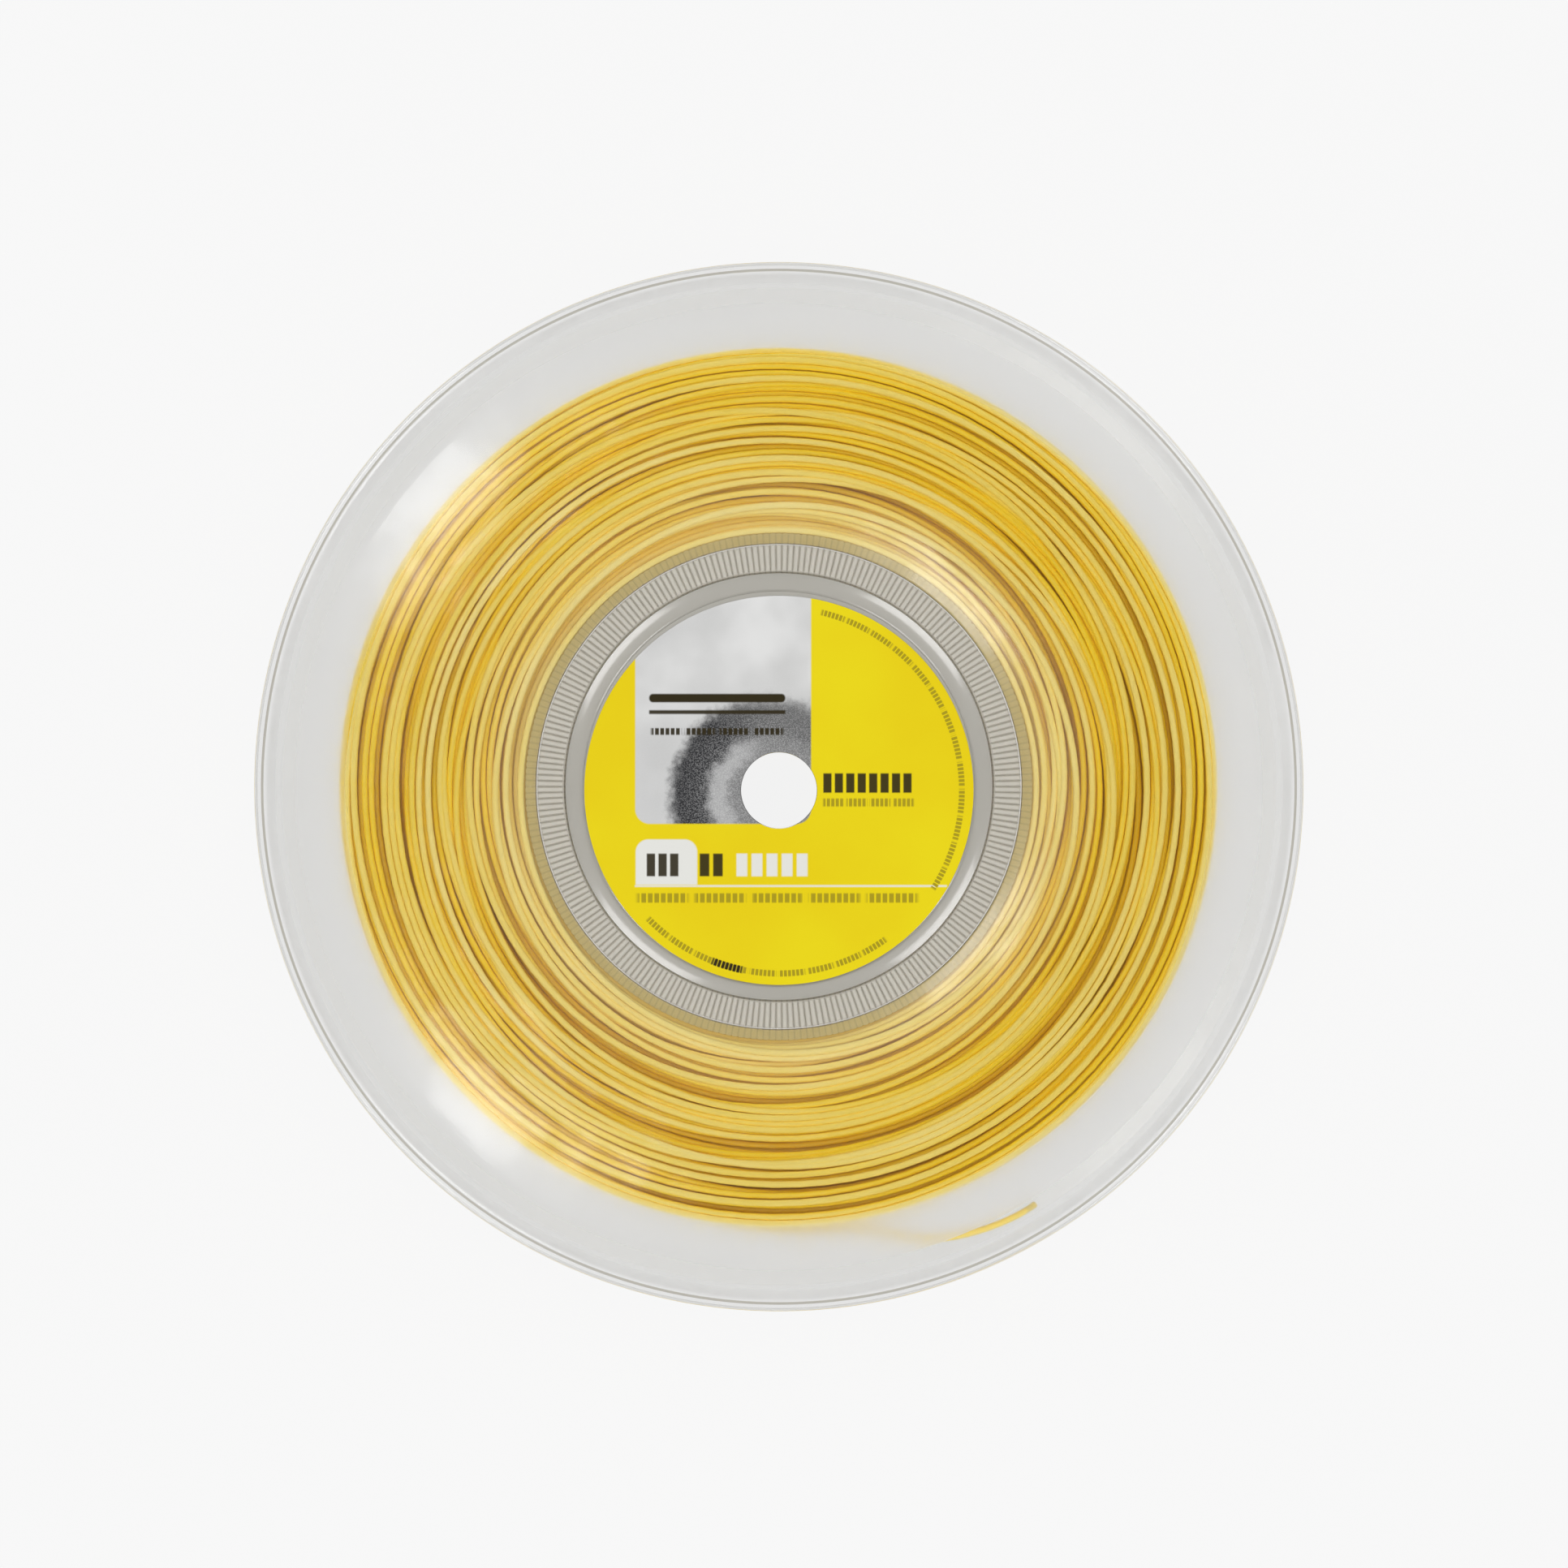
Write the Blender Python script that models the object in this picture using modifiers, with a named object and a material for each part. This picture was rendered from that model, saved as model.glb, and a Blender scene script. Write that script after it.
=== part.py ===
"""String reel: 200 m of racket string wound on a clear moulded reel, lying on its rear flange.

The reel's axis is +Z.  The origin is the middle of the rear flange's rest face, so the reel
stands on z = 0.  Lengths are in metres and angles in degrees.
"""

import math

import bmesh
import bpy

# Driving dimensions
REEL_RADIUS = 0.100
REEL_WIDTH = 0.028
GAP = 0.0003
STEPS = 64

# Flange: a thin disc whose face swells outward between the hub and the rim
FLANGE_THICK = 0.0017
FLANGE_BORE = 0.0464
CREST_INNER = 0.064
CREST_OUTER = 0.076
HUB_DROP = 0.00075
RIM_DROP = 0.0013
BEAD_WIDTH = 0.0014
BEAD_RISE = 0.00035

# Hub: drum, ribbed collars and capped core
DRUM_RADIUS = 0.0484
DRUM_BORE = 0.0467
COLLAR_OUTER = 0.0461
COLLAR_INNER = 0.0410
COLLAR_DEPTH = 0.0038
COLLAR_RECESS = 0.0003
CAP_RADIUS = 0.0407
CAP_BORE = 0.0080
CAP_WEB = 0.0017
SEAT_RADIUS = 0.0372
SEAT_RECESS = 0.0017
GROOVE_DEPTH = 0.0006
SKIRT_THICK = 0.0014
SPINDLE_RADIUS = 0.0098
LABEL_THICK = 0.0002
LABEL_RADIUS = 0.0371
LABEL_BORE = 0.0073

# String
STRING_RADIUS = 0.000625
WINDING_OUTER = 0.0843

# Slot in the rear flange that holds the string's loose end
SLOT_RADIUS = 0.0944
SLOT_AZIMUTH = -59.9
SLOT_LENGTH = 0.0066
SLOT_WIDTH = 0.0024

# Loose end of the string, as radius, azimuth and height: it peels off the winding,
# lies along the rear flange and dips into the slot
TAIL_ROUTE = (
    (0.08530, -87.0, 0.00300),
    (0.08545, -83.6, 0.00305),
    (0.08620, -80.2, 0.00310),
    (0.08790, -77.0, 0.00325),
    (0.09010, -74.0, 0.00340),
    (0.09190, -71.2, 0.00355),
    (0.09300, -68.4, 0.00365),
    (0.09370, -65.6, 0.00368),
    (0.09410, -63.2, 0.00362),
    (0.09430, -61.6, 0.00330),
    (0.09440, -60.4, 0.00258),
    (0.09440, -59.4, 0.00172),
    (0.09440, -58.5, 0.00090),
)

CLEAR = (0.86, 0.86, 0.84, 1.0)
YELLOW_STRING = (0.80, 0.58, 0.12, 1.0)
YELLOW_LABEL = (0.92, 0.80, 0.03, 1.0)


def clear_scene():
    for thing in list(bpy.data.objects):
        bpy.data.objects.remove(thing, do_unlink=True)


def collection(name):
    made = bpy.data.collections.new(name)
    bpy.context.scene.collection.children.link(made)
    return made


def material(name, colour, roughness):
    made = bpy.data.materials.new(name)
    made.use_nodes = True
    shader = made.node_tree.nodes["Principled BSDF"]
    shader.inputs["Base Color"].default_value = colour
    shader.inputs["Roughness"].default_value = roughness
    shader.inputs["Metallic"].default_value = 0.0
    return made


def polar(radius, azimuth, height):
    turn = math.radians(azimuth)
    return (radius * math.cos(turn), radius * math.sin(turn), height)


def swell(radius):
    """How far the flange's outer face lies below its crest at this radius."""
    if radius < CREST_INNER:
        reach = (CREST_INNER - radius) / (CREST_INNER - FLANGE_BORE)
        return HUB_DROP * reach**2
    if radius > CREST_OUTER:
        reach = (radius - CREST_OUTER) / (REEL_RADIUS - CREST_OUTER)
        return RIM_DROP * reach**2
    return 0.0


def face_height(radius):
    """Height of a flange's outer face above the reel's middle plane."""
    return REEL_WIDTH / 2 - swell(radius)


def spread(start, end, count):
    return [start + (end - start) * i / (count - 1) for i in range(count)]


def profile_mesh(name, profile):
    """A closed outline in the XZ plane, given clockwise from its outer side's top."""
    mesh = bpy.data.meshes.new(name)
    last = len(profile) - 1
    edges = [(i, i + 1) for i in range(last)] + [(last, 0)]
    mesh.from_pydata([(x, 0.0, z) for x, z in profile], edges, [])
    return mesh


def turned(name, mesh, finish, parts, flipped=False, steps=STEPS):
    """A solid of revolution about +Z; flipped turns it over for the reel's rear side."""
    thing = bpy.data.objects.new(name, mesh)
    parts.objects.link(thing)
    thing.location = (0.0, 0.0, REEL_WIDTH / 2)
    if flipped:
        thing.rotation_euler = (math.pi, 0.0, 0.0)
    screw = thing.modifiers.new("turn", "SCREW")
    screw.axis = "Z"
    screw.angle = 2 * math.pi
    screw.steps = steps
    screw.render_steps = steps
    screw.use_merge_vertices = True
    screw.merge_threshold = 0.00001
    screw.use_smooth_shade = True
    if not mesh.materials:
        mesh.materials.append(finish)
    return thing


def flange_profile():
    """Outer face, rim bead, then the inner face back to the bore."""
    bead_top = face_height(REEL_RADIUS) + BEAD_RISE
    bead_start = REEL_RADIUS - BEAD_WIDTH
    inner_edge = face_height(REEL_RADIUS) - FLANGE_THICK
    rim = [
        (REEL_RADIUS - 0.0003, bead_top),
        (REEL_RADIUS, bead_top - 0.0003),
        (REEL_RADIUS, inner_edge + 0.0002),
        (REEL_RADIUS - 0.0002, inner_edge),
    ]
    inner_radii = spread(bead_start, CREST_OUTER, 4)[1:] + spread(CREST_INNER, FLANGE_BORE, 4)
    inner = [(r, face_height(r) - FLANGE_THICK) for r in inner_radii]
    outer_radii = spread(FLANGE_BORE, CREST_INNER, 4) + spread(CREST_OUTER, bead_start, 4)
    outer = [(r, face_height(r)) for r in outer_radii]
    bead = [(bead_start + 0.0004, bead_top)]
    return rim + inner + outer + bead


def slot_cutter(cutters):
    """An upright block with round ends, lying along the rim."""
    mesh = bpy.data.meshes.new("tie_slot_cutter")
    block = bmesh.new()
    bmesh.ops.create_cube(block, size=1.0)
    bmesh.ops.scale(block, vec=(SLOT_LENGTH, SLOT_WIDTH, 0.010), verts=block.verts)
    upright = [e for e in block.edges if abs(e.verts[0].co.z - e.verts[1].co.z) > 0.005]
    bmesh.ops.bevel(
        block, geom=upright, offset=0.48 * SLOT_WIDTH, segments=4, profile=0.5, affect="EDGES"
    )
    block.to_mesh(mesh)
    block.free()
    cutter = bpy.data.objects.new("tie_slot_cutter", mesh)
    cutters.objects.link(cutter)
    cutter.location = polar(SLOT_RADIUS, SLOT_AZIMUTH, 0.0)
    cutter.rotation_euler = (0.0, 0.0, math.radians(SLOT_AZIMUTH + 90.0))
    cutter.hide_render = True
    cutter.display_type = "WIRE"
    return cutter


def make_flanges(parts, cutters):
    clear = material("clear_flange", CLEAR, 0.12)
    mesh = profile_mesh("flange", flange_profile())
    turned("front_flange", mesh, clear, parts)
    rear = turned("rear_flange", mesh, clear, parts, flipped=True)
    cut = rear.modifiers.new("tie_slot", "BOOLEAN")
    cut.operation = "DIFFERENCE"
    cut.solver = "EXACT"
    cut.object = slot_cutter(cutters)


def make_drum(parts):
    """The tube that the string is wound on, held between the two flanges."""
    top = face_height(FLANGE_BORE) - FLANGE_THICK - GAP
    profile = [(DRUM_RADIUS, top), (DRUM_RADIUS, -top), (DRUM_BORE, -top), (DRUM_BORE, top)]
    clear = material("clear_drum", CLEAR, 0.2)
    turned("hub_drum", profile_mesh("hub_drum", profile), clear, parts)


def make_collars(parts):
    """The ring that wedges each flange's bore and the drum's mouth together."""
    top = face_height(FLANGE_BORE) - COLLAR_RECESS
    bottom = top - COLLAR_DEPTH
    chamfer = 0.0003
    profile = [
        (COLLAR_OUTER, top - chamfer),
        (COLLAR_OUTER, bottom),
        (COLLAR_INNER, bottom),
        (COLLAR_INNER, top - chamfer),
        (COLLAR_INNER + chamfer, top),
        (COLLAR_OUTER - chamfer, top),
    ]
    ribbed = material("ribbed_collar", (0.66, 0.65, 0.61, 1.0), 0.35)
    mesh = profile_mesh("ribbed_collar", profile)
    turned("front_ribbed_collar", mesh, ribbed, parts)
    turned("rear_ribbed_collar", mesh, ribbed, parts, flipped=True)


def groove_wall(seat):
    """The rounded inner wall of the groove, from the label's seat down to the groove's floor."""
    centre = SEAT_RADIUS + GROOVE_DEPTH
    turns = [math.radians(turn) for turn in spread(180.0, 270.0, 5)]
    return [
        (centre + GROOVE_DEPTH * math.cos(turn), seat + GROOVE_DEPTH * math.sin(turn))
        for turn in turns
    ]


def make_caps(parts):
    """The core's end caps: a skirt, a groove that slopes up to the lip, and the label's seat."""
    lip = face_height(FLANGE_BORE) - COLLAR_RECESS
    seat = REEL_WIDTH / 2 - SEAT_RECESS
    skirt_end = lip - COLLAR_DEPTH
    web = seat - CAP_WEB
    profile = [
        (CAP_RADIUS, lip),
        (CAP_RADIUS, skirt_end),
        (CAP_RADIUS - SKIRT_THICK, skirt_end),
        (CAP_RADIUS - SKIRT_THICK, web - GROOVE_DEPTH / 2),
        (SEAT_RADIUS - SKIRT_THICK, web - GROOVE_DEPTH / 2),
        (SEAT_RADIUS - 2 * SKIRT_THICK, web),
        (CAP_BORE, web),
        (CAP_BORE, seat),
    ]
    clear = material("clear_cap", (0.70, 0.68, 0.63, 1.0), 0.18)
    mesh = profile_mesh("hub_cap", profile + groove_wall(seat))
    turned("front_hub_cap", mesh, clear, parts)
    turned("rear_hub_cap", mesh, clear, parts, flipped=True)


def make_spindle_tube(parts):
    """The bore's lining, which runs between the two caps' webs."""
    end = REEL_WIDTH / 2 - SEAT_RECESS - CAP_WEB - GAP
    profile = [(SPINDLE_RADIUS, end), (SPINDLE_RADIUS, -end), (CAP_BORE, -end), (CAP_BORE, end)]
    clear = material("clear_spindle_tube", CLEAR, 0.2)
    turned("spindle_tube", profile_mesh("spindle_tube", profile), clear, parts, steps=40)


def make_labels(parts):
    bottom = REEL_WIDTH / 2 - SEAT_RECESS + GAP
    top = bottom + LABEL_THICK
    profile = [(LABEL_RADIUS, top), (LABEL_RADIUS, bottom), (LABEL_BORE, bottom), (LABEL_BORE, top)]
    sticker = material("label", YELLOW_LABEL, 0.3)
    mesh = profile_mesh("label", profile)
    turned("front_label", mesh, sticker, parts)
    turned("rear_label", mesh, sticker, parts, flipped=True)


def make_winding(parts):
    """The wound string as one ring that fills the reel from the drum outward."""
    radii = [WINDING_OUTER, CREST_OUTER, CREST_INNER, 0.056, DRUM_RADIUS + GAP]
    top = [(r, face_height(r) - FLANGE_THICK - GAP) for r in radii]
    side = WINDING_OUTER, top[0][1] - 0.002
    top[0] = (WINDING_OUTER - 0.0012, top[0][1])
    upper = [side] + top
    lower = [(r, -z) for r, z in upper]
    profile = [upper[0]] + lower + list(reversed(top))
    string = material("string", YELLOW_STRING, 0.35)
    turned("string_winding", profile_mesh("string_winding", profile), string, parts)


def smooth_route(knots, spacing):
    """Points along a Catmull-Rom curve through the knots, about this far apart."""
    ends = [knots[0]] + list(knots) + [knots[-1]]
    points = []
    for a, b, c, d in zip(ends, ends[1:], ends[2:], ends[3:]):
        count = max(1, round(math.dist(b, c) / spacing))
        for i in range(count):
            t = i / count
            points.append(
                tuple(
                    0.5 * (2 * q + (r - p) * t + (2 * p - 5 * q + 4 * r - s) * t**2
                           + (3 * q - p - 3 * r + s) * t**3)
                    for p, q, r, s in zip(a, b, c, d)
                )
            )
    points.append(tuple(knots[-1]))
    return points


def make_tail(parts):
    """The string's loose end, a round tube along its route."""
    points = smooth_route([polar(*knot) for knot in TAIL_ROUTE], 2.2 * 2 * STRING_RADIUS)
    curve = bpy.data.curves.new("string_tail", "CURVE")
    curve.dimensions = "3D"
    curve.bevel_depth = STRING_RADIUS
    curve.bevel_resolution = 2
    curve.use_fill_caps = True
    spline = curve.splines.new("POLY")
    spline.points.add(len(points) - 1)
    for point, place in zip(spline.points, points):
        point.co = (*place, 1.0)
    curve.materials.append(bpy.data.materials["string"])
    parts.objects.link(bpy.data.objects.new("string_tail", curve))


def main():
    clear_scene()
    parts = collection("string_reel")
    cutters = collection("cutters")
    make_flanges(parts, cutters)
    make_drum(parts)
    make_collars(parts)
    make_caps(parts)
    make_spindle_tube(parts)
    make_labels(parts)
    make_winding(parts)
    make_tail(parts)


main()
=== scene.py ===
"""String reel: the looks of a clear moulded reel that holds 200 m of golden racket string."""
import math

import bpy
import numpy as np
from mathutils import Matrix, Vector


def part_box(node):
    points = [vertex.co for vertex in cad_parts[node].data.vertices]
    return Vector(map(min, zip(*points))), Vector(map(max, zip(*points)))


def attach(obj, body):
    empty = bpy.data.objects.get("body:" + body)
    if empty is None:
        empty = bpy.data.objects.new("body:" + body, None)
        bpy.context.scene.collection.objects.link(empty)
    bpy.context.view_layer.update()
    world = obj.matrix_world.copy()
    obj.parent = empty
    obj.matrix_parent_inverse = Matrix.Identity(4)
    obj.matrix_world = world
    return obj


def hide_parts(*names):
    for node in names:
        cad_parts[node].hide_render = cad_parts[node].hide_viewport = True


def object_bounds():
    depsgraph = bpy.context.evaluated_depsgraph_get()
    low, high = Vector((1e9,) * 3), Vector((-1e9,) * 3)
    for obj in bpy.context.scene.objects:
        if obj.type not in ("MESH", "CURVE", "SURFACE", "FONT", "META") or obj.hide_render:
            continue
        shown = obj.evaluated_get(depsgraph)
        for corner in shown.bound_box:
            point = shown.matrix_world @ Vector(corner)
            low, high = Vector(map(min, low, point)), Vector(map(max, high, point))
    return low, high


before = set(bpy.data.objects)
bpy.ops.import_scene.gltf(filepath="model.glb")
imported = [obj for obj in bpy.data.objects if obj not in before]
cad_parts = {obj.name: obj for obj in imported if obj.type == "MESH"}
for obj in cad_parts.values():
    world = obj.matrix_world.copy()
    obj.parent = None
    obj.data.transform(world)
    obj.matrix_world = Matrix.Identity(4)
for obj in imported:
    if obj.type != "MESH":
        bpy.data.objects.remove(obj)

cad_low, cad_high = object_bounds()

MM = 0.001

# Sizes read from the frame; heights are above the reel's middle plane
MIDDLE = cad_high.z / 2
REEL_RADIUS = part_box("front_flange")[1].x
DRUM_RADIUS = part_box("hub_drum")[1].x
DRUM_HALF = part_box("hub_drum")[1].z - MIDDLE
COLLAR_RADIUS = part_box("front_ribbed_collar")[1].x
COLLAR_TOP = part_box("front_ribbed_collar")[1].z - MIDDLE
COLLAR_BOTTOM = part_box("front_ribbed_collar")[0].z - MIDDLE
CAP_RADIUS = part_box("front_hub_cap")[1].x
SPINDLE_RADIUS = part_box("spindle_tube")[1].x
SPINDLE_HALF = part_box("spindle_tube")[1].z - MIDDLE
LABEL_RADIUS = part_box("front_label")[1].x
WINDING_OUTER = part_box("string_winding")[1].x

# Flange: its face swells outward to a flat crest, and falls away to a skirt and a rim bead
FLANGE_THICK = 1.7 * MM
FLANGE_BORE = 46.4 * MM
CREST_INNER = 64 * MM
CREST_OUTER = 76 * MM
SKIRT_LINE = 91.2 * MM
SKIRT_SLOPE = 0.03
HUB_DROP = 0.75 * MM
RIM_DROP = 1.3 * MM
BEAD_RISE = 0.35 * MM
BEAD_START = REEL_RADIUS - 1.75 * MM
BEAD_TOP = REEL_RADIUS - 1.15 * MM
RIM_ROUND = 0.6 * MM
EDGE_ROUND = 0.25 * MM
REAR_OVAL = 0.9965

# Bands of the flange's inner face, outward from the bore: misty, polished over the winding,
# frosted, satin, and frosted again under the bead
MIST_START = 52 * MM
MIST_END = 64 * MM
FROST_INNER = 83.0 * MM
FROST_OUTER = 92.8 * MM
SATIN_OUTER = 96.8 * MM

# Hub
RIB_COUNT = 250
RIB_DEPTH = 0.45 * MM
FLUTE_DEPTH = 0.2 * MM
CAP_BORE = 8.0 * MM
CAP_WEB = 1.7 * MM
SEAT_RECESS = 1.7 * MM
SEAT_RADIUS = 37.2 * MM
GROOVE_DEPTH = 0.6 * MM
COLLAR_BORE = 41.0 * MM
DRUM_BORE = 46.7 * MM
LABEL_BORE = 7.3 * MM
LABEL_THICK = 0.15 * MM
LABEL_GAP = 0.02 * MM
LABEL_SHIFT = (0.0, -0.7 * MM)

# Steps round the axis
FLANGE_STEPS = 384
RIB_STEPS = 8 * RIB_COUNT
HUB_STEPS = 320
BORE_STEPS = 160

# String: SAMPLES points a turn while the strands settle, and FINER times as many in the mesh
GAUGE = 1.25 * MM
STRING_LENGTH = 200.0
LAYERS = 29
LENGTHS = 5
SAMPLES = 48
FINER = 2
STRAND_SIDES = 8
LOOSE_TURNS = 1.6
LOOSE_ROOM = 2.2 * GAUGE
FACE_GAP = 0.05 * MM
EDGE_START = 79 * MM
EDGE_DROP = 2.2 * MM

# The loose end's radius, azimuth in degrees, and height over the floor
TAIL_ROUTE = (
    (0.08530, -87.0, 0.00300),
    (0.08545, -83.6, 0.00305),
    (0.08620, -80.2, 0.00310),
    (0.08790, -77.0, 0.00325),
    (0.09010, -74.0, 0.00340),
    (0.09190, -71.2, 0.00355),
    (0.09300, -68.4, 0.00365),
    (0.09370, -65.6, 0.00368),
    (0.09410, -63.2, 0.00362),
    (0.09430, -61.6, 0.00330),
    (0.09440, -60.4, 0.00258),
    (0.09440, -59.4, 0.00172),
    (0.09440, -58.5, 0.00090),
)


# ---------------------------------------------------------------- camera

def link(thing):
    bpy.context.scene.collection.objects.link(thing)
    return thing


def make_camera():
    """Looks straight down on the reel from far above, as a long lens does.

    It stands a little aside, which shares the photo's offset of hub and rim between the two.
    """
    distance = 2.3
    seen_width = 298.7 * MM
    aside = (0.97 * MM, 0.51 * MM)
    data = bpy.data.cameras.new("camera")
    data.lens = data.sensor_width * distance / seen_width
    data.clip_end = 20.0
    camera = link(bpy.data.objects.new("camera", data))
    camera.location = (*aside, 2 * MIDDLE + distance)
    bpy.context.scene.camera = camera


# ---------------------------------------------------------------- shader graphs

class Graph:
    """A short way to write a material's nodes."""

    def __init__(self, name):
        self.material = bpy.data.materials.new(name)
        self.material.use_nodes = True
        self.tree = self.material.node_tree
        self.tree.nodes.clear()

    def put(self, value, socket):
        if isinstance(value, bpy.types.NodeSocket):
            self.tree.links.new(value, socket)
        else:
            socket.default_value = value

    def node(self, kind, settings=None, **inputs):
        made = self.tree.nodes.new(kind)
        for key, value in (settings or {}).items():
            setattr(made, key, value)
        for key, value in inputs.items():
            self.put(value, made.inputs[key.replace("_", " ")])
        return made

    def maths(self, operation, *values):
        made = self.node("ShaderNodeMath", {"operation": operation})
        for value, socket in zip(values, made.inputs):
            self.put(value, socket)
        return made.outputs[0]

    def step(self, value, low, high, out_low=0.0, out_high=1.0):
        """Goes smoothly from out_low to out_high as value goes from low to high."""
        made = self.node("ShaderNodeMapRange", {"interpolation_type": "SMOOTHSTEP"})
        for socket, number in zip(made.inputs, (value, low, high, out_low, out_high)):
            self.put(number, socket)
        return made.outputs["Result"]

    def mix(self, factor, a, b):
        """Colour a where factor is 0 and colour b where it is 1."""
        made = self.node("ShaderNodeMix", {"data_type": "RGBA"})
        for socket, value in ((0, factor), (6, a), (7, b)):
            self.put(value, made.inputs[socket])
        return made.outputs[2]

    def coordinates(self):
        return self.node("ShaderNodeTexCoord").outputs["Object"]

    def axes(self):
        """The object's own X, Y and Z."""
        return self.node("ShaderNodeSeparateXYZ", Vector=self.coordinates()).outputs

    def polar(self, x, y):
        """Radius and azimuth, in radians."""
        squares = self.maths("ADD", self.maths("POWER", x, 2.0), self.maths("POWER", y, 2.0))
        return self.maths("SQRT", squares), self.maths("ARCTAN2", y, x)

    def vector(self, x, y, z=0.0):
        return self.node("ShaderNodeCombineXYZ", X=x, Y=y, Z=z).outputs[0]

    def noise(self, scale, detail=3.0, roughness=0.5, vector=None):
        made = self.node("ShaderNodeTexNoise", Scale=scale, Detail=detail, Roughness=roughness)
        self.put(vector or self.coordinates(), made.inputs["Vector"])
        return made.outputs["Fac"]

    def bump(self, height, distance, strength=1.0):
        made = self.node("ShaderNodeBump", Height=height, Distance=distance, Strength=strength)
        return made.outputs["Normal"]

    def finish(self, shader):
        output = self.node("ShaderNodeOutputMaterial")
        self.tree.links.new(shader, output.inputs["Surface"])
        return self.material


def grey(level):
    return (level, level, level, 1.0)


def moulded_clear(name, tint, shadow, roughness, haze=0.0, darken=None, ior=1.49, coat=0.0):
    """Moulded clear plastic: flow lines, fine scuffs, and a milky part given by haze.

    Lamps shine through it, tinted by shadow.  darken(graph) gives a mask of painted shade that deepens
    the tint, and haze may be such a function too.
    """
    shaded_tint = tuple(0.78 * c for c in tint[:3]) + (1.0,)
    wave_height = 0.1 * MM
    g = Graph(name)
    x, y, _ = g.axes()
    radius, azimuth = g.polar(x, y)
    flow = g.noise(1.0, 2.0, 0.5, g.vector(g.maths("MULTIPLY", radius, 90.0), azimuth))
    scuffs = g.noise(900.0, 4.0, 0.7)
    worn = g.step(g.noise(35.0, 4.0, 0.65), 0.5, 0.72, 0.0, 0.35)
    grain = g.maths("ADD", g.step(scuffs, 0.3, 0.75, -0.2, 0.2), worn)
    rough = g.maths("MULTIPLY", g.maths("ADD", grain, 1.0), roughness)
    # painted shade: the tint deepens under darken's mask
    colour = g.mix(darken(g), tint, shaded_tint) if darken else tint
    clear = g.maths("SUBTRACT", 1.0, haze(g)) if callable(haze) else 1.0 - haze
    glass = g.node(
        "ShaderNodeBsdfPrincipled",
        Base_Color=colour,
        Roughness=rough,
        IOR=ior,
        Transmission_Weight=clear,
        Coat_Weight=coat,
        Coat_Roughness=0.13,
        Coat_IOR=1.62,
        Normal=g.bump(g.maths("ADD", flow, g.noise(55.0, 2.0)), wave_height),
    )
    lit = g.node("ShaderNodeBsdfTransparent", Color=shadow)
    mixed = g.node("ShaderNodeMixShader")
    g.put(g.node("ShaderNodeLightPath").outputs["Is Shadow Ray"], mixed.inputs[0])
    g.put(glass.outputs[0], mixed.inputs[1])
    g.put(lit.outputs[0], mixed.inputs[2])
    return g.finish(mixed.outputs[0])


def hub_mist(g):
    """Haze near the flange's bore that fades out over the inner part of the disc."""
    thickest = 0.05
    x, y, _ = g.axes()
    radius, _ = g.polar(x, y)
    return g.step(radius, MIST_START, MIST_END, thickest, 0.0)


def rib_gap_shade(g):
    """A mask of painted shade in the gaps between the collar's ribs, and between the drum's flutes."""
    gap, rib = 0.1, 0.6
    x, y, _ = g.axes()
    _, azimuth = g.polar(x, y)
    phase = g.maths("ABSOLUTE", g.maths("SINE", g.maths("MULTIPLY", azimuth, RIB_COUNT / 2)))
    return g.step(phase, gap, rib, 1.0, 0.0)


def string_material():
    """Golden polyester with a fine rough grain, and painted shade that deepens its colour where strands
    lie below others.

    The mesh gives each strand's own shade, and each point's depth under the winding's surface, from
    which the painted shade is read.
    The weak glow stands for light that passes through the strands.
    """
    gold, straw = (0.94, 0.70, 0.07, 1.0), (0.97, 0.81, 0.28, 1.0)
    speck = (0.97, 0.86, 0.42, 1.0)
    shaded_gold, deepest_shade = (0.94, 0.665, 0.012, 1.0), (0.72, 0.41, 0.004, 1.0)
    own_share, drift_share = 0.75, 0.25
    g = Graph("golden_string")
    strand = g.node("ShaderNodeAttribute", {"attribute_name": "shade"}).outputs["Fac"]
    grain = g.noise(2600.0, 2.0)
    drift = g.step(g.noise(60.0, 2.0), 0.3, 0.7)
    own = g.maths("MULTIPLY", strand, own_share)
    tone = g.maths("ADD", own, g.maths("MULTIPLY", drift, drift_share))
    colour = g.mix(tone, gold, straw)
    colour = g.mix(g.step(grain, 0.55, 0.75, 0.0, 0.2), colour, speck)
    depth = g.node("ShaderNodeAttribute", {"attribute_name": "depth"}).outputs["Fac"]
    # painted shade: deeper gold a little under the surface, then brown further down
    colour = g.mix(g.step(depth, 0.15 * MM, 1.5 * MM), colour, shaded_gold)
    colour = g.mix(g.step(depth, 1.6 * MM, 4.4 * MM), colour, deepest_shade)
    body = g.node(
        "ShaderNodeBsdfPrincipled",
        Base_Color=colour,
        Roughness=g.step(grain, 0.3, 0.7, 0.30, 0.44),
        IOR=1.57,
        Emission_Color=(1.0, 0.70, 0.05, 1.0),
        Emission_Strength=0.03,
        Normal=g.bump(grain, 0.05 * MM, 0.4),
    )
    return g.finish(body.outputs[0])


# ---------------------------------------------------------------- printed label

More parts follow.
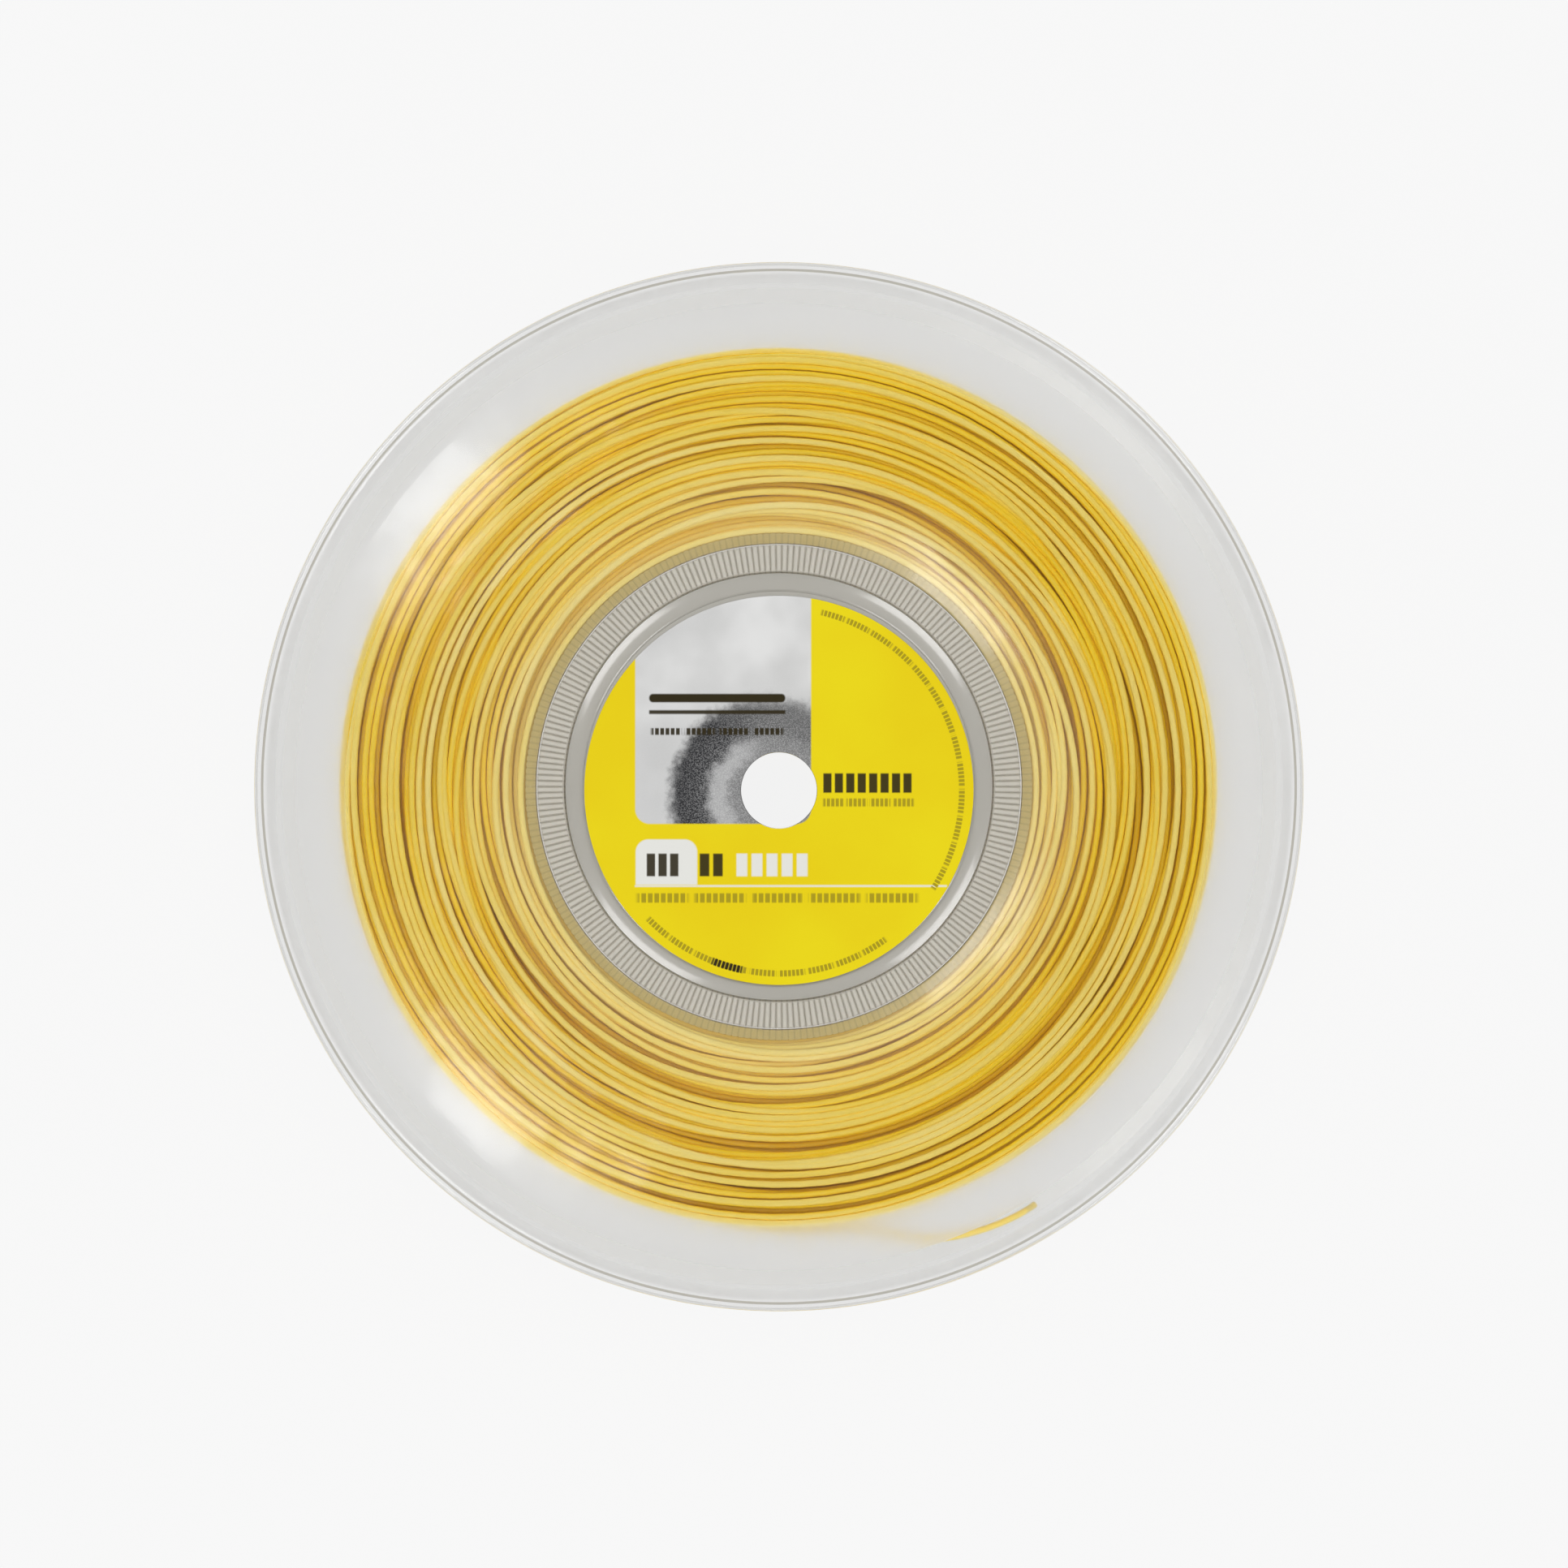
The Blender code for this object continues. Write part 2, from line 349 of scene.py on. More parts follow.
class Print(Graph):
    """A label's print in label radii: u to the right, v up, drawn as masks over its ground."""

    SOFT = 0.005
    BLOCK_SOFT = 0.06

    def __init__(self, name, side):
        super().__init__(name)
        x, y, _ = self.axes()
        self.u = self.maths("DIVIDE", x, LABEL_RADIUS)
        self.v = self.maths("DIVIDE", y, side * LABEL_RADIUS)
        self.reach, self.turn = self.polar(self.u, self.v)

    def inside(self, value, low, high, soft=SOFT):
        """1 where value lies between low and high, with soft edges."""
        half = self.maths("ABSOLUTE", self.maths("SUBTRACT", value, (low + high) / 2))
        edge = (high - low) / 2
        return self.step(half, edge - soft, edge + soft, 1.0, 0.0)

    def panel(self, left, right, bottom, top, corner=0.02):
        """A box with round corners."""
        past = []
        for value, low, high in ((self.u, left, right), (self.v, bottom, top)):
            away = self.maths("ABSOLUTE", self.maths("SUBTRACT", value, (low + high) / 2))
            flat = (high - low) / 2 - corner
            past.append(self.maths("MAXIMUM", self.maths("SUBTRACT", away, flat), 0.0))
        reach, _ = self.polar(*past)
        return self.step(reach, corner - self.SOFT, corner + self.SOFT, 1.0, 0.0)

    def blocks(self, value, low, high, count, filled=0.72):
        """Splits the run from low to high into count blocks with gaps between them."""
        phase = self.maths("MULTIPLY", self.maths("SUBTRACT", value, low), count / (high - low))
        part = self.maths("FRACT", phase)
        return self.inside(part, (1 - filled) / 2, (1 + filled) / 2, self.BLOCK_SOFT)

    def row(self, left, right, bottom, top, count, words=1):
        """A row of plain blocks, in groups."""
        solid = self.panel(left, right, bottom, top, 0.004)
        fine = self.blocks(self.u, left, right, count)
        if words > 1:
            fine = self.maths("MULTIPLY", fine, self.blocks(self.u, left, right, words, 0.88))
        return self.maths("MULTIPLY", solid, fine)

    def arc_row(self, start, end, inner, outer, count, words):
        """A row of plain blocks along the rim, in groups, between two azimuths in degrees."""
        low, high = math.radians(start), math.radians(end)
        ring = self.inside(self.reach, inner, outer, 0.003)
        span = self.inside(self.turn, low, high, 0.004)
        solid = self.maths("MULTIPLY", ring, span)
        fine = self.blocks(self.turn, low, high, count)
        fine = self.maths("MULTIPLY", fine, self.blocks(self.turn, low, high, words, 0.9))
        return self.maths("MULTIPLY", solid, fine)


def brushed_silver(g):
    """Pale silver print with a charcoal swirl brushed round the hole."""
    centre_u, centre_v = -0.04, -0.03
    away_u = g.maths("ADD", g.u, -centre_u)
    away_v = g.maths("ADD", g.v, -centre_v)
    reach, turn = g.polar(away_u, away_v)
    smear = g.noise(420.0, 5.0, 0.7)
    speckle = g.noise(4200.0, 2.0, 0.7)
    cloud = g.noise(55.0, 3.0)
    left = g.step(g.maths("COSINE", g.maths("SUBTRACT", turn, math.radians(188))), -0.15, 0.6)
    high = g.step(g.maths("SINE", turn), 0.2, 0.9)
    ragged = g.maths("ADD", reach, g.step(smear, 0.3, 0.7, -0.02, 0.02))

    def ring(centre, width):
        away = g.maths("ABSOLUTE", g.maths("SUBTRACT", ragged, centre))
        return g.step(away, 0.35 * width, width, 1.0, 0.0)

    def weaker(mask, share):
        return g.maths("MULTIPLY", mask, share)

    pale = g.mix(g.step(cloud, 0.35, 0.7), (0.46, 0.46, 0.455, 1.0), (0.58, 0.58, 0.575, 1.0))
    silver = g.mix(g.step(g.v, -0.2, 0.7, 0.55, 0.0), pale, grey(0.42))
    silver = g.mix(weaker(g.step(ragged, 0.40, 0.56, 1.0, 0.0), 0.85), silver, grey(0.10))
    gleam = g.maths("MULTIPLY", ring(0.29, 0.10), left)
    silver = g.mix(weaker(gleam, 0.6), silver, grey(0.42))
    arch = g.maths("MULTIPLY", ring(0.40, 0.13), high)
    silver = g.mix(weaker(arch, 0.75), silver, grey(0.075))
    dark = g.maths("MULTIPLY", ring(0.42, 0.14), left)
    silver = g.mix(dark, silver, (0.018, 0.018, 0.02, 1.0))
    mottle = g.maths("MULTIPLY", g.step(speckle, 0.45, 0.6), g.step(ragged, 0.3, 0.6, 0.25, 0.06))
    return g.mix(mottle, silver, grey(0.62))


def label_layers(g, ground):
    """The print's masks and colours, from the lowest up: (mask, colour)."""
    ink = (0.022, 0.016, 0.004, 1.0)
    olive = (0.30, 0.235, 0.006, 1.0)
    white = (0.60, 0.60, 0.57, 1.0)
    silver = brushed_silver(g)
    return [
        (g.panel(-0.738, 0.165, -0.172, 1.3, 0.075), silver),
        (g.panel(-0.736, -0.420, -0.60, -0.252, 0.065), white),
        (g.panel(-1.0, 0.9, -1.0, -0.485, 0.005), ground),
        (g.panel(-0.74, 0.863, -0.496, -0.487, 0.003), white),
        (g.panel(-0.667, 0.033, 0.392, 0.412, 0.004), ink),
        (g.panel(-0.667, 0.033, 0.452, 0.496, 0.020), ink),
        (g.row(-0.667, 0.033, 0.285, 0.320, 26, 4), ink),
        (g.row(0.22, 0.69, -0.0125, 0.0875, 8), ink),
        (g.row(0.22, 0.70, -0.083, -0.042, 21, 4), olive),
        (g.row(-0.6875, -0.508, -0.4417, -0.325, 3), ink),
        (g.row(-0.4167, -0.279, -0.4417, -0.325, 2), ink),
        (g.row(-0.229, 0.158, -0.4417, -0.325, 5), white),
        (g.row(-0.745, 0.729, -0.577, -0.529, 44, 5), olive),
        (g.arc_row(-33.0, 77.0, 0.925, 0.955, 90, 13), olive),
        (g.arc_row(-136.0, -54.0, 0.925, 0.957, 64, 9), olive),
        (g.arc_row(-112.0, -101.0, 0.922, 0.960, 9, 1), ink),
    ]


def label_material(name, side):
    """Glossy printed film: a yellow ground, a silver panel, and plain bars instead of lettering."""
    g = Print(name, side)
    shade = g.step(g.noise(30.0, 3.0), 0.3, 0.7)
    ground = g.mix(shade, (0.62, 0.475, 0.0005, 1.0), (0.64, 0.53, 0.002, 1.0))
    colour = ground
    for mask, paint in label_layers(g, ground):
        colour = g.mix(mask, colour, paint)
    grain = g.noise(1500.0, 3.0, 0.6)
    body = g.node(
        "ShaderNodeBsdfPrincipled",
        Base_Color=colour,
        Roughness=g.step(grain, 0.3, 0.7, 0.30, 0.42),
        Specular_IOR_Level=0.15,
        Normal=g.bump(grain, 0.02 * MM, 0.3),
    )
    return g.finish(body.outputs[0])


# ---------------------------------------------------------------- mesh helpers

def add_mesh(name, points, loops, starts, finishes):
    """A smooth mesh object from its points, its faces' corners in one row, and their starts."""
    mesh = bpy.data.meshes.new(name)
    mesh.vertices.add(len(points))
    mesh.vertices.foreach_set("co", points.astype(np.float32).ravel())
    mesh.loops.add(len(loops))
    mesh.loops.foreach_set("vertex_index", loops.astype(np.int32))
    mesh.polygons.add(len(starts))
    mesh.polygons.foreach_set("loop_start", starts.astype(np.int32))
    mesh.update(calc_edges=True)
    for finish in finishes:
        mesh.materials.append(finish)
    mesh.shade_smooth()
    return link(bpy.data.objects.new(name, mesh))


def revolve(name, outline, finishes, steps, rear=False, shift=None, squeeze=1.0, strips=()):
    """Turns a closed (radius, height) outline about the reel's axis.

    The outline runs clockwise from its outer side's top.  shift(turn, radius, height) moves its
    points, rear turns the piece over, squeeze narrows it along X, and strips gives the stretches
    of the outline that take the second finish, the third, and so on.
    """
    sharp_from = math.radians(35)
    turn = np.linspace(0, 2 * np.pi, steps, endpoint=False)[:, None]
    radius, height = (np.broadcast_to(row, (steps, len(outline))) for row in np.array(outline).T)
    if shift:
        radius, height = shift(turn, radius, height)
    points = np.stack([squeeze * radius * np.cos(turn), radius * np.sin(turn), height], axis=-1)
    if rear:
        points[..., 1:] *= -1.0
    points[..., 2] += MIDDLE
    number = np.arange(steps * len(outline)).reshape(steps, len(outline))
    ahead = np.roll(number, -1, axis=0)
    quads = np.stack([number, np.roll(number, -1, axis=1), np.roll(ahead, -1, axis=1), ahead], -1)
    piece = add_mesh(
        name, points.reshape(-1, 3), quads.ravel(), np.arange(0, quads.size, 4), finishes
    )
    slots = np.zeros((steps, len(outline)), dtype=np.int32)
    for i, (start, end) in enumerate(strips):
        slots[:, start:end] = i + 1
    piece.data.polygons.foreach_set("material_index", slots.ravel())
    piece.data.set_sharp_from_angle(angle=sharp_from)
    return piece


def arc(x, z, radius, start, end, count):
    """Points on an arc about (x, z), from start to end in degrees."""
    turns = np.radians(np.linspace(start, end, count))
    return [(x + radius * math.cos(t), z + radius * math.sin(t)) for t in turns]


def place(piece, node):
    """Fixes a piece to the reel's one body, as the stand-in for this node."""
    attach(piece, "root")
    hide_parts(node)


# ---------------------------------------------------------------- reel

def face(radius):
    """Height of a flange's outer face at this radius."""
    height = MIDDLE
    if radius < CREST_INNER:
        height -= HUB_DROP * ((CREST_INNER - radius) / (CREST_INNER - FLANGE_BORE)) ** 2
    if radius > CREST_OUTER:
        height -= RIM_DROP * ((radius - CREST_OUTER) / (REEL_RADIUS - CREST_OUTER)) ** 2
    if radius > SKIRT_LINE:
        height -= SKIRT_SLOPE * (radius - SKIRT_LINE)
    return height


def flange_outline():
    """Outline of a flange, and its strips: the inner face's bands, then the foot of the bead."""
    edge = REEL_RADIUS - RIM_ROUND
    top = face(BEAD_START) + BEAD_RISE
    bottom = face(edge) - FLANGE_THICK
    rim = arc(edge, top - RIM_ROUND, RIM_ROUND, 90, 0, 8)
    rim += arc(edge, bottom + RIM_ROUND, RIM_ROUND, 0, -90, 8)
    bore_edge = FLANGE_BORE + EDGE_ROUND
    inner_radii = np.linspace(REEL_RADIUS - 2 * RIM_ROUND, bore_edge, 56)
    inner = [(r, face(r) - FLANGE_THICK) for r in inner_radii]
    bore_top = face(FLANGE_BORE)
    bore = [(FLANGE_BORE, bore_top - FLANGE_THICK + EDGE_ROUND), (FLANGE_BORE, bore_top - EDGE_ROUND)]
    swell = np.linspace(bore_edge, SKIRT_LINE, 60)
    skirt = np.linspace(SKIRT_LINE + EDGE_ROUND, BEAD_START, 10)
    outer = [(r, face(r)) for r in np.append(swell, skirt)]
    bead = []
    for t in np.linspace(0, 1, 6)[1:]:
        rise = (1 - math.cos(math.pi * t)) / 2
        bead.append((BEAD_START + t * (BEAD_TOP - BEAD_START), face(BEAD_START) + rise * BEAD_RISE))
    outline = rim + inner + bore + outer + bead
    cuts = [len(rim)]
    for line in (SATIN_OUTER, FROST_OUTER, FROST_INNER, MIST_END, FLANGE_BORE):
        cuts.append(len(rim) + int((inner_radii > line).sum()))
    bead_foot = (len(outline) - len(bead) - 1, len(outline) - 2)
    return outline, (*zip(cuts, cuts[1:]), bead_foot)


def make_flanges():
    """Two thin discs with a bead round the rim, polished but for bands of the inner face.

    A dark line of painted shade lies at the bead's foot.
    """
    tint = (0.885, 0.885, 0.88, 1.0)
    pale = (0.89, 0.89, 0.88, 1.0)
    rim_shade = (0.36, 0.34, 0.29, 1.0)
    lit = (0.995, 0.995, 0.99, 1.0)
    polished = moulded_clear("polished_flange", tint, lit, roughness=0.09)
    frosted = moulded_clear("frosted_flange", tint, lit, roughness=0.36)
    misty = moulded_clear("misty_flange", pale, lit, roughness=0.09, haze=hub_mist)
    satin = moulded_clear("satin_flange", pale, lit, roughness=0.05, haze=0.06)
    # painted shade: a dark line at the foot of the bead
    rim_shade_finish = moulded_clear("painted_rim_shade", rim_shade, lit, roughness=0.35, haze=0.4)
    finishes = (polished, frosted, satin, frosted, polished, misty, rim_shade_finish)
    outline, strips = flange_outline()
    for name, rear, squeeze in (("front_flange", False, 1.0), ("rear_flange", True, REAR_OVAL)):
        piece = revolve(name + "_disc", outline, finishes, FLANGE_STEPS, rear, None, squeeze, strips)
        place(piece, name)


def rib_wave(turn):
    """0 along a rib's top and 1 at the bottom of the gap beside it."""
    return np.clip(1.0 - np.abs(np.sin(turn * RIB_COUNT / 2)) / 0.6, 0.0, 1.0)


def make_collars():
    """Flat rings with fine radial ribs on their faces."""
    tint = (0.60, 0.575, 0.515, 1.0)
    lit = (0.85, 0.84, 0.81, 1.0)
    # painted shade darkens the gaps between the ribs
    milky = moulded_clear("ribbed_collar", tint, lit, roughness=0.37, haze=0.55, darken=rib_gap_shade)
    low, high = COLLAR_BOTTOM, COLLAR_TOP
    edge = EDGE_ROUND
    outline = [(COLLAR_RADIUS, high - edge), (COLLAR_RADIUS, low), (COLLAR_BORE, low)]
    outline += [(COLLAR_BORE, high - edge), (COLLAR_BORE + edge, high)]
    radii = np.linspace(COLLAR_BORE + 2 * edge, COLLAR_RADIUS - 2 * edge, 5)
    outline += [(r, high) for r in radii] + [(COLLAR_RADIUS - edge, high)]

    def cut_ribs(turn, radius, height):
        on_face = (radius > COLLAR_BORE + 1.5 * edge) & (height > high - edge / 2)
        return radius, height - RIB_DEPTH * rib_wave(turn) * on_face

    for name, rear in (("front_ribbed_collar", False), ("rear_ribbed_collar", True)):
        piece = revolve(name + "_ring", outline, (milky,), RIB_STEPS, rear, cut_ribs)
        place(piece, name)


def make_drum():
    """The tube that the string is wound on, with fine flutes down its outside."""
    tint = (0.66, 0.52, 0.17, 1.0)
    lit = (0.85, 0.80, 0.66, 1.0)
    # painted shade darkens the gaps between the flutes
    amber = moulded_clear("fluted_drum", tint, lit, roughness=0.37, haze=0.5, darken=rib_gap_shade)
    middle = (DRUM_RADIUS + DRUM_BORE) / 2
    outline = [(DRUM_RADIUS, DRUM_HALF), (DRUM_RADIUS, -DRUM_HALF)]
    outline += [(DRUM_BORE, -DRUM_HALF), (DRUM_BORE, DRUM_HALF)]

    def cut_flutes(turn, radius, height):
        return radius - FLUTE_DEPTH * rib_wave(turn) * (radius > middle), height

    piece = revolve("hub_drum_tube", outline, (amber,), RIB_STEPS, False, cut_flutes)
    place(piece, "hub_drum")


def cap_outline():
    """A cap's skirt, the web with the label's seat, the bore, and the groove round the seat."""
    lip, bottom = COLLAR_TOP, COLLAR_BOTTOM
    seat = MIDDLE - SEAT_RECESS
    web = seat - CAP_WEB
    skirt = 1.4 * MM
    round_edge = 0.1 * MM
    ledge = web - GROOVE_DEPTH / 2
    outline = [(CAP_RADIUS, lip - round_edge), (CAP_RADIUS, bottom), (CAP_RADIUS - skirt, bottom)]
    outline += [(CAP_RADIUS - skirt, ledge), (SEAT_RADIUS - skirt, ledge)]
    outline += [(SEAT_RADIUS - 2 * skirt, web), (CAP_BORE, web), (CAP_BORE, seat)]
    centre = SEAT_RADIUS + GROOVE_DEPTH
    outline += arc(centre, seat, GROOVE_DEPTH, 180, 270, 9)
    outline.append((CAP_RADIUS - round_edge, lip))
    return outline


def make_caps(finish):
    """The core's two end caps: outside the label's seat a groove slopes up to the lip."""
    for name, rear in (("front_hub_cap", False), ("rear_hub_cap", True)):
        piece = revolve(name + "_moulding", cap_outline(), (finish,), HUB_STEPS, rear)
        place(piece, name)


def make_spindle_tube(finish):
    """The lining of the bore between the two caps."""
    end = SPINDLE_HALF
    outline = [(SPINDLE_RADIUS, end), (SPINDLE_RADIUS, -end), (CAP_BORE, -end), (CAP_BORE, end)]
    piece = revolve("spindle_tube_lining", outline, (finish,), BORE_STEPS)
    place(piece, "spindle_tube")


def make_labels():
    """Thin printed discs, a touch off centre on their seats."""
    seat = MIDDLE - SEAT_RECESS + LABEL_GAP
    top = seat + LABEL_THICK
    outline = [(LABEL_RADIUS, top), (LABEL_RADIUS, seat), (LABEL_BORE, seat), (LABEL_BORE, top)]
    for name, rear, side in (("front_label", False, 1), ("rear_label", True, -1)):
        finish = label_material(name + "_print", side)
        piece = revolve(name + "_film", outline, (finish,), HUB_STEPS, rear)
        piece.location = (*LABEL_SHIFT, 0.0)
        place(piece, name)


# ---------------------------------------------------------------- string

def curve_point(a, b, c, d, t):
    """The point at t, 0 to 1, between b and c on a Catmull-Rom curve through a, b, c and d."""
    square = (2 * a - 5 * b + 4 * c - d) * t**2
    cube = (3 * b - a - 3 * c + d) * t**3
    return 0.5 * (2 * b + (c - a) * t + square + cube)


def smooth_noise(rng, count, cell):
    """Smooth noise along count samples, with a knot every cell samples."""
    knots = rng.standard_normal(count // cell + 4)
    spot = np.arange(count) / cell
    i = spot.astype(int)
    return curve_point(knots[i], knots[i + 1], knots[i + 2], knots[i + 3], spot - i)


def room(radius):
    """How far from the middle plane a strand's centre may lie, by the flange's inner face.

    The winding narrows a little towards its outer edge.
    """
    hub = np.clip((CREST_INNER - radius) / (CREST_INNER - FLANGE_BORE), 0, None)
    rim = np.clip((radius - CREST_OUTER) / (REEL_RADIUS - CREST_OUTER), 0, None)
    edge = np.clip((radius - EDGE_START) / (WINDING_OUTER - EDGE_START), 0, 1)
    inner_face = MIDDLE - HUB_DROP * hub**2 - RIM_DROP * rim**2 - FLANGE_THICK
    return inner_face - FACE_GAP - GAUGE / 2 - EDGE_DROP * edge**1.5


def wound_turns(rng):
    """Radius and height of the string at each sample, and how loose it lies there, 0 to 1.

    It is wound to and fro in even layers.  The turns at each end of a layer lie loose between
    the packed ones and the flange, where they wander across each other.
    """
    uneven, loosening = 0.03, 0.15
    usual_depth, depth_spread, most_depth = 0.8, 0.8, 1.7
    radii = np.linspace(DRUM_RADIUS + 0.55 * GAUGE, WINDING_OUTER - 0.6 * GAUGE, LAYERS)
    turns = 1 + uneven * rng.standard_normal(LAYERS)
    turns *= STRING_LENGTH / (2 * math.pi * (turns * radii).sum())
    ends = np.concatenate([[0.0], np.cumsum(turns)])
    spot = np.arange(int(ends[-1] * SAMPLES)) / SAMPLES
    count = len(spot)
    layer = np.clip(np.searchsorted(ends, spot, side="right") - 1, 0, LAYERS - 1)
    knots = np.stack([ends[:-1] + LOOSE_TURNS, ends[1:] - LOOSE_TURNS], axis=1).ravel()
    radius = np.interp(spot, knots, np.repeat(radii, 2))
    way = np.where(layer % 2 == 0, -1, 1)
    packed = (spot - ends[layer] - LOOSE_TURNS) / (turns[layer] - 2 * LOOSE_TURNS)
    side = way * np.where(packed > 0.5, 1, -1)
    to_end = np.minimum(spot - ends[layer], ends[layer + 1] - spot)
    loose = np.clip((LOOSE_TURNS - to_end) / loosening, 0, 1)
    limit = room(radius)
    depth = usual_depth + depth_spread * smooth_noise(rng, count, SAMPLES // 2)
    depth = GAUGE * np.clip(depth, 0, most_depth)
    inner = way * (2 * np.clip(packed, 0, 1) - 1) * (limit - LOOSE_ROOM)
    height = (1 - loose) * inner + loose * side * (limit - depth)
    return radius, height, loose


def shared_drift(rng, turn, radius):
    """A slow drift inward and outward that neighbouring strands share, about -1 to 1."""
    wave_count, scale = 10, 0.4
    total = 0.0
    for _ in range(wave_count):
        waves = rng.integers(1, 4)
        pitch = rng.uniform(0.25, 0.9) / MM
        shift, start = rng.uniform(0, 2 * math.pi, 2)
        wave = np.cos(waves * turn + shift) * np.cos(pitch * (radius - DRUM_RADIUS) + start)
        total = total + wave * rng.uniform(0.5, 1.0)
    return total * scale


def close_pairs(spots):
    """Samples at the same azimuth that lie within reach of each other.

    The last turn is filled up with samples that are far from everything.
    """
    count = len(spots)
    turns = -(-count // SAMPLES)
    far = 10.0
    padded = np.full((turns * SAMPLES, 2), far)
    padded[:, 0] += np.arange(turns * SAMPLES)
    padded[:count] = spots
    padded = padded.reshape(turns, SAMPLES, 2)
    reach = GAUGE + 0.5 * MM
    first, second = [], []
    for t in range(SAMPLES):
        order = np.argsort(padded[:, t, 0], kind="stable")
        x, y = padded[order, t, 0], padded[order, t, 1]
        for m in range(1, turns):
            near = x[m:] - x[:-m] < reach
            if not near.any():
                break
            hit = near & (np.abs(y[m:] - y[:-m]) < reach)
            first.append(order[:-m][hit] * SAMPLES + t)
            second.append(order[m:][hit] * SAMPLES + t)
    return np.concatenate(first), np.concatenate(second)


def outer_reach(turn):
    """The winding's uneven outer radius, for a strand's centre."""
    lean = 0.45 * MM * (1 - np.cos(turn + math.radians(118)))
    dent = 0.2 * MM * (1 + np.cos(2 * turn + 0.6)) + 0.2 * MM * (1 + np.cos(5 * turn + 2.0))
    return WINDING_OUTER - lean - dent


def stiffen(spot, times):
    """Takes out short kinks, which a stiff string can't hold.  The two ends stay."""
    spot = spot.copy()
    for _ in range(times):
        spot[1:-1] += 0.25 * (spot[2:] + spot[:-2] - 2 * spot[1:-1])
    return spot


def settle(target, turn, loose):
    """Pushes strands that share a place apart, between the drum and the flanges.

    A pull towards the target fades out over the first four fifths of the rounds.
    """
    rounds, renew_pairs = 260, 8
    pull, loose_pull = 0.03, 0.05
    give, rim_give = 0.45, 0.3
    smoothing, last_smoothing = 3, 8
    spot = target.copy()
    count = len(spot)
    hold = (pull + loose_pull * loose)[:, None]
    reach = outer_reach(turn)
    for step in range(rounds):
        if step % renew_pairs == 0:
            first, second = close_pairs(spot)
        spot += hold * max(0.0, 1 - step / (0.8 * rounds)) * (target - spot)
        spot = stiffen(spot, smoothing)
        apart = spot[second] - spot[first]
        length = np.sqrt((apart**2).sum(1)) + 1e-9
        push = (give * np.clip(GAUGE - length, 0, None) / length)[:, None] * apart
        for axis in (0, 1):
            spot[:, axis] += np.bincount(second, push[:, axis], count)
            spot[:, axis] -= np.bincount(first, push[:, axis], count)
        spot[:, 0] -= rim_give * np.clip(spot[:, 0] - reach, 0, None)
        spot[:, 0] = np.clip(spot[:, 0], DRUM_RADIUS + GAUGE / 2, None)
        limit = room(spot[:, 0])
        spot[:, 1] = np.clip(spot[:, 1], -limit, limit)
        spot[-1] = target[-1]
    return stiffen(spot, last_smoothing)


def finer(rows):
    """Puts points between the rows' points, on a smooth curve through them."""
    padded = np.concatenate([rows[:1], rows, rows[-1:]])
    a, b, c, d = padded[:-3], padded[1:-2], padded[2:-1], padded[3:]
    parts = [curve_point(a, b, c, d, t) for t in np.arange(FINER) / FINER]
    return np.concatenate([np.stack(parts, axis=1).reshape(-1, rows.shape[1]), rows[-1:]])


def string_path():
    """Centre line of the wound string, ending where its loose end peels off."""
    own_wander, loose_wander, shared_wander = 0.4 * MM, 4.4 * MM, 1.6 * MM
    uneven_rise = 0.2 * MM
    inside_share = 0.2
    rng = np.random.default_rng(3)
    radius, height, loose = wound_turns(rng)
    count = len(radius)
    tail_radius, tail_turn, tail_height = TAIL_ROUTE[0]
    turn = (np.arange(count) - (count - 1)) * 2 * math.pi / SAMPLES + math.radians(tail_turn)
    wander = own_wander * smooth_noise(rng, count, SAMPLES // 4)
    wander += loose_wander * loose * smooth_noise(rng, count, SAMPLES // 2)
    drift = np.where(height > 0, shared_drift(rng, turn, radius), shared_drift(rng, turn, radius))
    near_face = np.clip((np.abs(height) / room(radius) - 0.5) / 0.3, 0, 1)
    wander += shared_wander * drift * (inside_share + (1 - inside_share) * near_face)
    rise = uneven_rise * smooth_noise(rng, count, SAMPLES // 5)
    target = np.stack([radius + wander, height + rise], axis=1)
    target[-1] = tail_radius, tail_height - MIDDLE
    spot = settle(target, turn, loose)
    radius, height, turn = finer(np.column_stack([spot, turn])).T
    return np.stack([radius * np.cos(turn), radius * np.sin(turn), height + MIDDLE], axis=1)


def buried(points):
    """How deep each point lies under the winding's surface, from the flange or from the rim.

    The string's painted shade is read from it. Near the hub it counts for less, since light comes in
    there through the clear core.
    """
    pale_radius, pale_width, least = 48 * MM, 12 * MM, 0.2
    x, y, z = points.T
    radius = np.hypot(x, y)
    from_face = room(radius) + GAUGE / 2 - np.abs(z - MIDDLE)
    from_rim = outer_reach(np.arctan2(y, x)) + GAUGE / 2 - radius
    share = np.clip((radius - pale_radius) / pale_width, least, 1)
    return share * np.clip(np.minimum(from_face, from_rim), 0, None)


def unit(rows):
    return rows / np.linalg.norm(rows, axis=1)[:, None]


